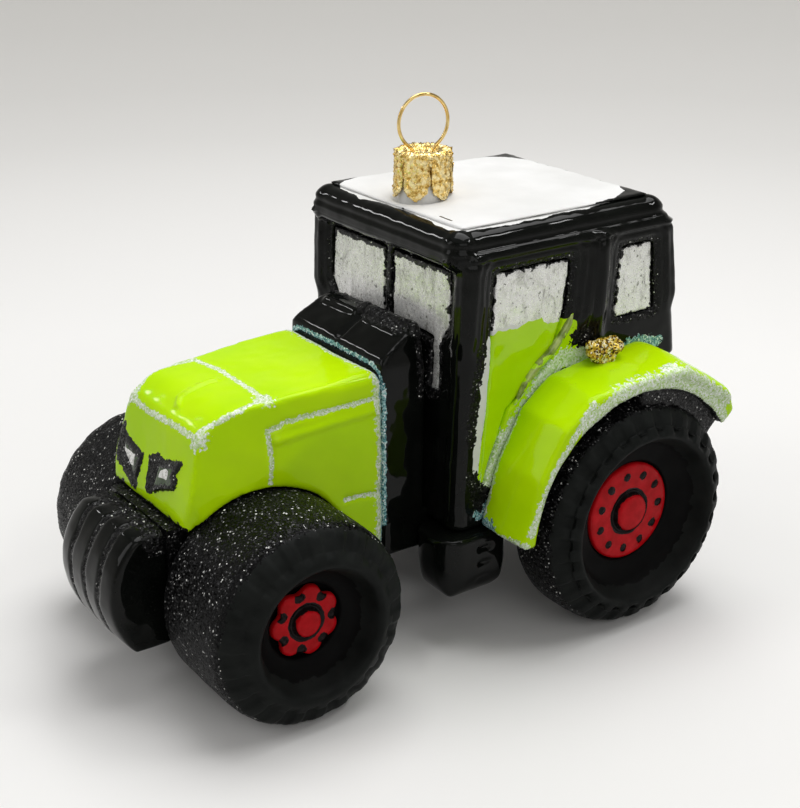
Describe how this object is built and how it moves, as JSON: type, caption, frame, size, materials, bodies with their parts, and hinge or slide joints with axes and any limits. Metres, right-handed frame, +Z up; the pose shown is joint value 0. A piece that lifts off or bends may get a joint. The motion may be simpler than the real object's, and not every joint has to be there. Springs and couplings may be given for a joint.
{
  "type": "tractor-shaped glass tree ornament",
  "caption": "Blown-glass tree ornament shaped like a farm tractor with a closed cab, painted and glittered, hung by a wire loop in a stamped crown cap on the roof.",
  "frame": {"origin": "centre of the bounding box's bottom face, on the floor under the ornament", "axes": "+Z up, the tractor's nose faces -Y, the tractor's left side faces +X"},
  "size_m": [0.074, 0.108, 0.0889],
  "materials": {
    "lime": "gloss lacquer on glass, opaque",
    "black": "gloss lacquer on glass, opaque",
    "tyre": "matte lacquer and glitter on glass, opaque",
    "red": "gloss lacquer on glass, opaque",
    "white": "satin lacquer on glass, opaque",
    "silver": "silvered from within, opaque",
    "gold_glitter": "gold glitter on glass, opaque",
    "cap_gold": "embossed gold-coloured sheet and wire"
  },
  "bodies": {
    "glass_body": {"hood": "lime", "headlamps": "black", "front_weights": "black", "cowl": "black", "chassis": "black", "front_axle": "black", "rear_axle": "black", "cab_tub": "black", "cab_front_frame": "black", "cab_side_left": "black", "cab_side_right": "black", "cab_rear_frame": "black", "front_post_left": "black", "front_post_right": "black", "rear_post_left": "black", "rear_post_right": "black", "roof_rim_front": "black", "roof_rim_rear": "black", "roof_rim_left": "black", "roof_rim_right": "black", "roof_panel": "white", "neck": "silver", "windscreen": "silver", "door_window_left": "silver", "door_window_right": "silver", "door_panel_left": "lime", "door_panel_right": "lime", "quarter_window_left": "silver", "quarter_window_right": "silver", "rear_window": "silver", "fender_left": "lime", "fender_right": "lime", "fender_lamp_left": "gold_glitter", "fender_lamp_right": "gold_glitter", "step_left": "black", "step_right": "black", "front_tyre_left": "tyre", "front_tyre_right": "tyre", "rear_tyre_left": "tyre", "rear_tyre_right": "tyre", "front_hub_left": "red", "front_hub_right": "red", "rear_hub_left": "red", "rear_hub_right": "red"},
    "cap": {"cap": "cap_gold"},
    "hanger": {"hanger": "cap_gold"}
  },
  "joints": [
    {"name": "cap_turn", "type": "hinge", "parent": "glass_body", "child": "cap", "pos_m": [0, 0.0115, 0.0755], "axis": [0, 0, 1], "continuous": true},
    {"name": "hanger_rock", "type": "hinge", "parent": "cap", "child": "hanger", "pos_m": [0, 0.0115, 0.0798], "axis": [0.1219, 0.9925, 0], "range_deg": [-10, 10]}
  ]
}
